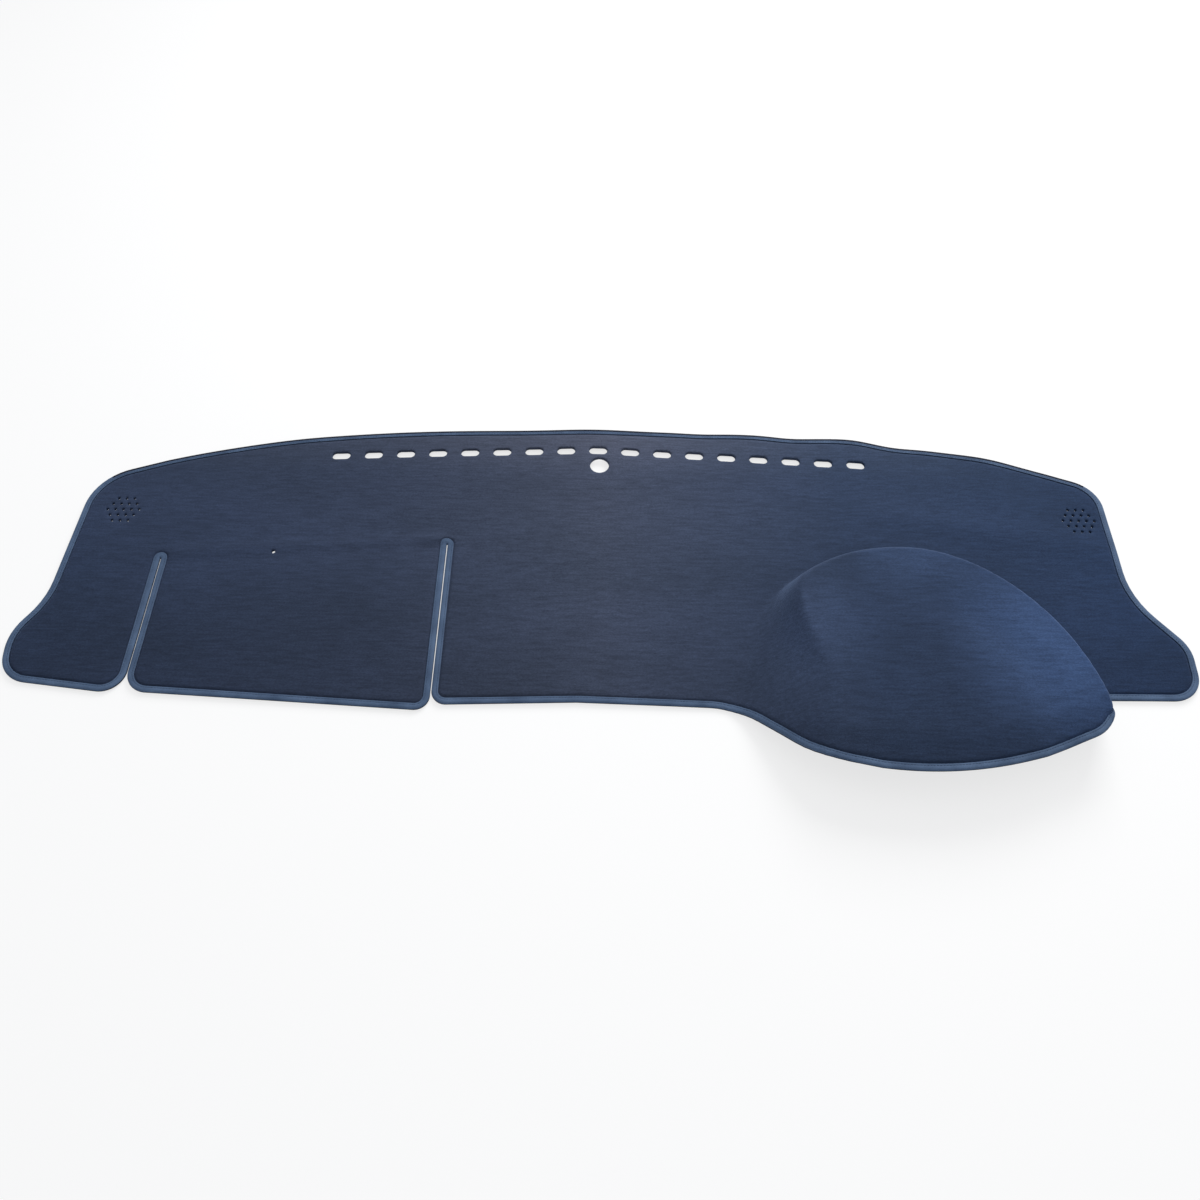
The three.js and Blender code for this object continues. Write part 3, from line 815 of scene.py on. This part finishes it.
def thread_material():
    material, nodes, links, principled = shader(
        "thread", linear(40, 50, 72), 0.6, 0.3, 0.3, linear(130, 150, 190))
    where = nodes.new("ShaderNodeTexCoord").outputs["Object"]
    twist = ramp(nodes, links, noise(nodes, links, where, 2200, 2),
                 [(0.35, linear(30, 38, 58)), (0.65, linear(58, 70, 96))])
    links.new(twist, principled.inputs["Base Color"])
    return material


# Floor, light and camera

def floor_and_light():
    mesh = bpy.data.meshes.new("floor")
    side = 12.0
    level = -0.0005
    corners = [(-side, -side, level), (side, -side, level), (side, side, level), (-side, side, level)]
    mesh.from_pydata(corners, [], [(0, 1, 2, 3)])
    floor = bpy.data.objects.new("floor", mesh)
    bpy.context.scene.collection.objects.link(floor)
    material = bpy.data.materials.new("floor")
    material.use_nodes = True
    nodes, links = material.node_tree.nodes, material.node_tree.links
    output = nodes["Material Output"]
    diffuse = nodes["Principled BSDF"]
    diffuse.inputs["Base Color"].default_value = (0.93, 0.93, 0.93, 1)
    diffuse.inputs["Roughness"].default_value = 0.9
    glow = nodes.new("ShaderNodeEmission")
    glow.inputs["Strength"].default_value = 1.0
    path = nodes.new("ShaderNodeLightPath")
    seen = maths(nodes, links, "MAXIMUM", path.outputs["Is Camera Ray"], path.outputs["Is Glossy Ray"])
    seen = maths(nodes, links, "MAXIMUM", seen, path.outputs["Is Transmission Ray"])
    blend = nodes.new("ShaderNodeMixShader")
    links.new(maths(nodes, links, "MULTIPLY", seen, 0.72), blend.inputs["Fac"])
    links.new(diffuse.outputs["BSDF"], blend.inputs[1])
    links.new(glow.outputs["Emission"], blend.inputs[2])
    links.new(blend.outputs["Shader"], output.inputs["Surface"])
    mesh.materials.append(material)

    world = bpy.data.worlds.new("studio")
    bpy.context.scene.world = world
    world.use_nodes = True
    nodes, links = world.node_tree.nodes, world.node_tree.links
    soft = nodes["Background"]
    soft.inputs["Color"].default_value = (0.92, 0.95, 1.0, 1)
    soft.inputs["Strength"].default_value = 0.45
    white = nodes.new("ShaderNodeBackground")
    white.inputs["Strength"].default_value = 1.0
    path = nodes.new("ShaderNodeLightPath")
    blend = nodes.new("ShaderNodeMixShader")
    links.new(path.outputs["Is Camera Ray"], blend.inputs["Fac"])
    links.new(soft.outputs["Background"], blend.inputs[1])
    links.new(white.outputs["Background"], blend.inputs[2])
    links.new(blend.outputs["Shader"], nodes["World Output"].inputs["Surface"])

    for name, where, size, power in (
        ("window_light", (0.75, 1.65, 1.45), 1.3, 50.0),
        ("top_light", (0.1, -0.2, 2.6), 2.4, 13.0),
    ):
        light = bpy.data.lights.new(name, "AREA")
        light.size = size
        light.energy = power
        lamp = bpy.data.objects.new(name, light)
        lamp.location = where
        lamp.rotation_euler = (Vector((0, 0, 0)) - Vector(where)).to_track_quat("-Z", "Y").to_euler()
        bpy.context.scene.collection.objects.link(lamp)


PITCH = math.radians(58)
ROLL = math.radians(0.7)
CAMERA_DISTANCE = 1.2669
AIM_Y = 0.146  # the point that the camera looks at, behind the front line


def camera():
    forward = Vector((0, math.cos(PITCH), -math.sin(PITCH)))
    level = Vector((1, 0, 0))
    upright = level.cross(forward)
    right = math.cos(ROLL) * level + math.sin(ROLL) * upright
    up = right.cross(forward)
    data = bpy.data.cameras.new("camera")
    data.sensor_width = 36
    data.lens = 30
    data.clip_start = 0.01
    view = bpy.data.objects.new("camera", data)
    turn = Matrix((right, up, -forward)).transposed()
    aim = Vector((SIDE_LINE, AIM_Y + FRONT_LINE, 0))
    view.matrix_world = Matrix.Translation(aim - forward * CAMERA_DISTANCE) @ turn.to_4x4()
    bpy.context.scene.collection.objects.link(view)
    bpy.context.scene.camera = view


outline = mat_outline()
steps = inward_steps(outline)
carpet = carpet_piece(outline, steps)
tape = tape_piece(outline, steps)
stitching = stitch_piece(outline, steps)
for piece, material, slot in (
    (carpet, carpet_material(), "carpet"),
    (tape, tape_material(), "binding_tape"),
    (stitching, thread_material(), "binding_tape"),
):
    piece.data.materials.append(material)
    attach(piece, "root")
# Second material of the tape: painted shade on the lower half of its fold
tape.data.materials.append(fold_shade_material())
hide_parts("cover_panel")
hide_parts("edge_binding")

floor_and_light()
camera()
bpy.context.scene.view_settings.view_transform = "Standard"
